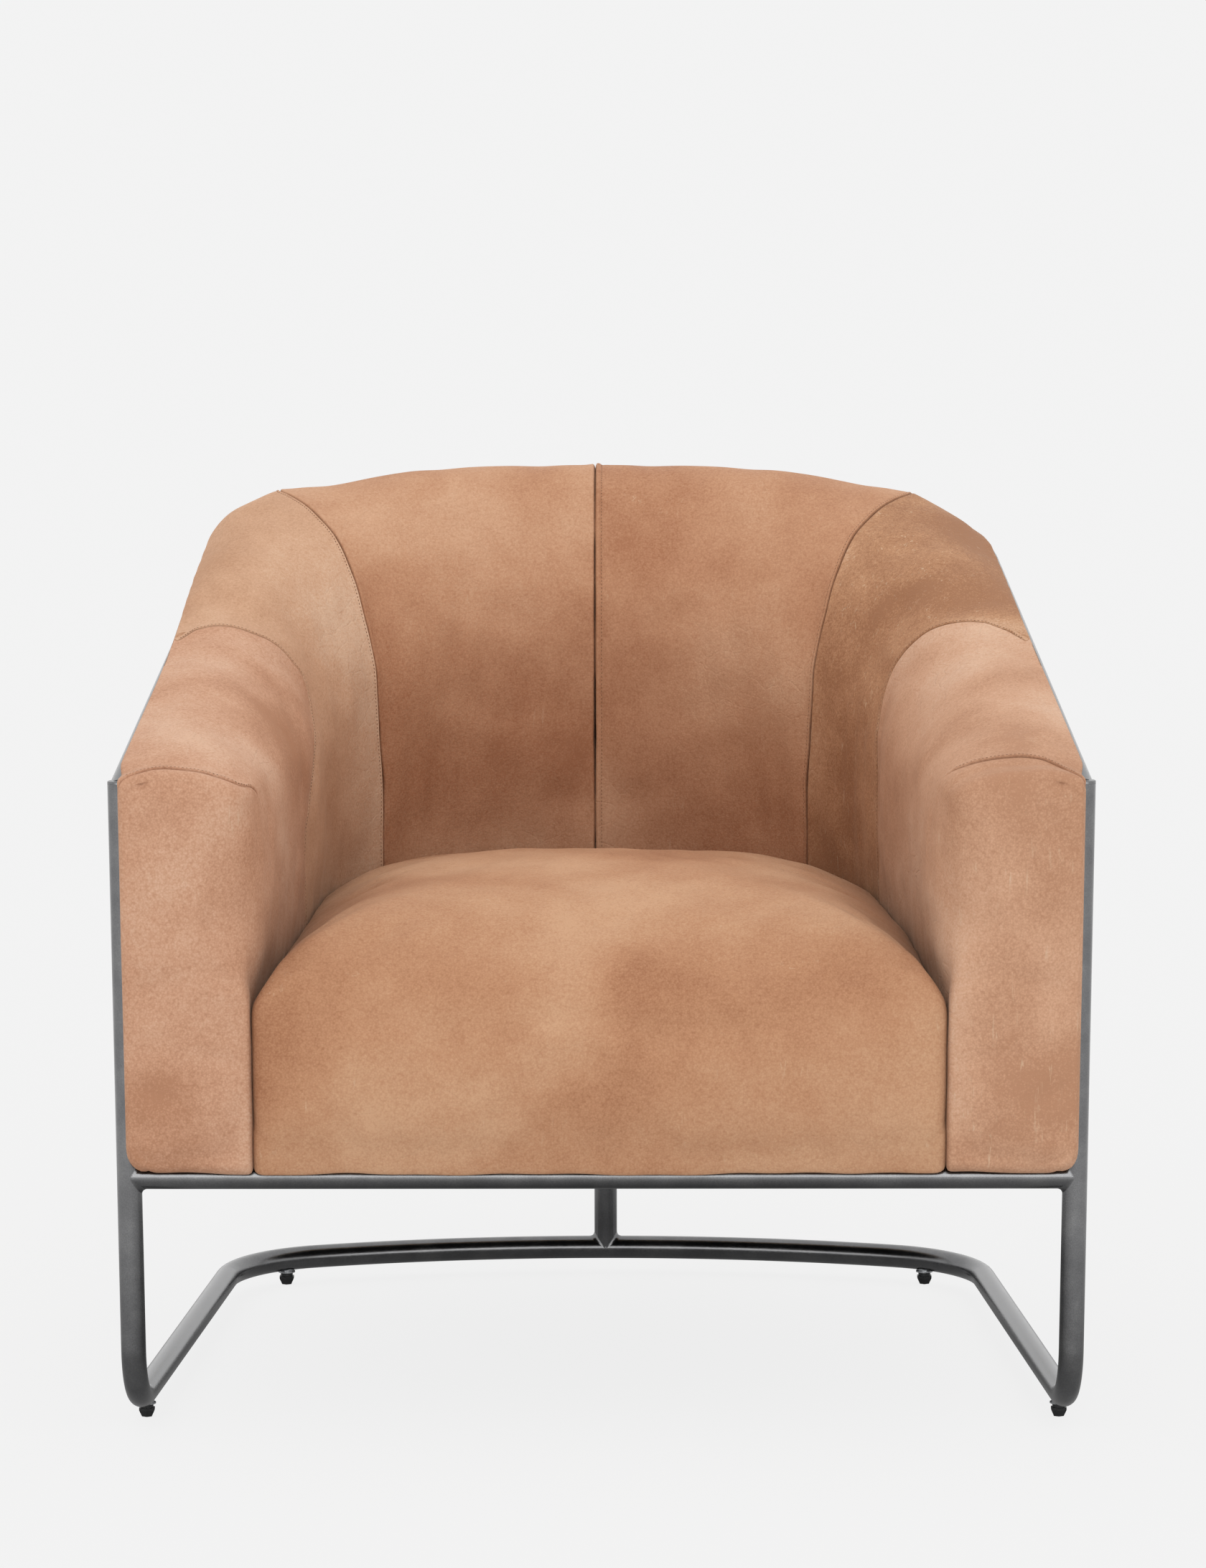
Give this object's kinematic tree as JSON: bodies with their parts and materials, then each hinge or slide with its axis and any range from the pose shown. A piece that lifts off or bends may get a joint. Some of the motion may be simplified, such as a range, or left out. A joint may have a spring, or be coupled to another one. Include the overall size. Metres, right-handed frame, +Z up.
{
  "type": "tub lounge armchair",
  "caption": "Tub lounge armchair: a leather barrel back with sloping arms and a crowned seat, held in an open frame of bent round steel tube on levelling glides.",
  "frame": {"origin": "on the floor under the middle of the chair's bounding box", "axes": "+X to the right as seen from in front of the chair, +Y towards its back, +Z up; the chair's front faces -Y"},
  "size_m": [0.784, 0.6838, 0.723],
  "materials": {
    "gunmetal_powder_coat": "satin gunmetal powder coat on steel tube",
    "zinc_plated_steel": "zinc plated",
    "black_nylon": "moulded, matte",
    "birch_plywood": "sanded, unfinished",
    "beech": "planed, unfinished",
    "woven_webbing": "woven elastic webbing",
    "black_cambric": "non-woven dust cover",
    "tan_nubuck": "tan nubuck, cloudy, lightly scuffed"
  },
  "bodies": {
    "chair": {"left_leg_tube": "gunmetal_powder_coat", "right_leg_tube": "gunmetal_powder_coat", "rear_base_tube": "gunmetal_powder_coat", "front_rail_tube": "gunmetal_powder_coat", "left_hoop_tube": "gunmetal_powder_coat", "right_hoop_tube": "gunmetal_powder_coat", "rear_hoop_tube": "gunmetal_powder_coat", "left_post_cap": "gunmetal_powder_coat", "right_post_cap": "gunmetal_powder_coat", "rear_post_tube": "gunmetal_powder_coat", "left_hoop_bracket": "gunmetal_powder_coat", "right_hoop_bracket": "gunmetal_powder_coat", "left_rail_bracket": "gunmetal_powder_coat", "right_rail_bracket": "gunmetal_powder_coat", "rear_bracket": "gunmetal_powder_coat", "left_hoop_screw": "zinc_plated_steel", "right_hoop_screw": "zinc_plated_steel", "left_rail_screw": "zinc_plated_steel", "right_rail_screw": "zinc_plated_steel", "left_rear_screw": "zinc_plated_steel", "right_rear_screw": "zinc_plated_steel", "front_left_thread_insert": "zinc_plated_steel", "rear_left_thread_insert": "zinc_plated_steel", "front_right_thread_insert": "zinc_plated_steel", "rear_right_thread_insert": "zinc_plated_steel", "left_arm_panel": "birch_plywood", "right_arm_panel": "birch_plywood", "back_panel": "birch_plywood", "left_side_rail": "beech", "right_side_rail": "beech", "front_seat_rail": "beech", "rear_seat_rail": "beech", "seat_strap_1": "woven_webbing", "seat_strap_2": "woven_webbing", "seat_strap_3": "woven_webbing", "seat_strap_4": "woven_webbing", "seat_strap_5": "woven_webbing", "cross_strap_1": "woven_webbing", "cross_strap_2": "woven_webbing", "cross_strap_3": "woven_webbing", "dust_cover": "black_cambric", "left_arm_pad": "tan_nubuck", "left_wing_pad": "tan_nubuck", "left_back_pad": "tan_nubuck", "left_arm_front": "tan_nubuck", "right_arm_pad": "tan_nubuck", "right_wing_pad": "tan_nubuck", "right_back_pad": "tan_nubuck", "right_arm_front": "tan_nubuck", "seat_pad": "tan_nubuck"},
    "front_left_glide": {"front_left_glide_foot": "black_nylon", "front_left_glide_stud": "zinc_plated_steel"},
    "rear_left_glide": {"rear_left_glide_foot": "black_nylon", "rear_left_glide_stud": "zinc_plated_steel"},
    "front_right_glide": {"front_right_glide_foot": "black_nylon", "front_right_glide_stud": "zinc_plated_steel"},
    "rear_right_glide": {"rear_right_glide_foot": "black_nylon", "rear_right_glide_stud": "zinc_plated_steel"}
  },
  "joints": [
    {"name": "front_left_levelling", "type": "slide", "parent": "chair", "child": "front_left_glide", "axis": [0, 0, -1], "range_m": [0, 0.008]},
    {"name": "rear_left_levelling", "type": "slide", "parent": "chair", "child": "rear_left_glide", "axis": [0, 0, -1], "range_m": [0, 0.008]},
    {"name": "front_right_levelling", "type": "slide", "parent": "chair", "child": "front_right_glide", "axis": [0, 0, -1], "range_m": [0, 0.008]},
    {"name": "rear_right_levelling", "type": "slide", "parent": "chair", "child": "rear_right_glide", "axis": [0, 0, -1], "range_m": [0, 0.008]}
  ]
}
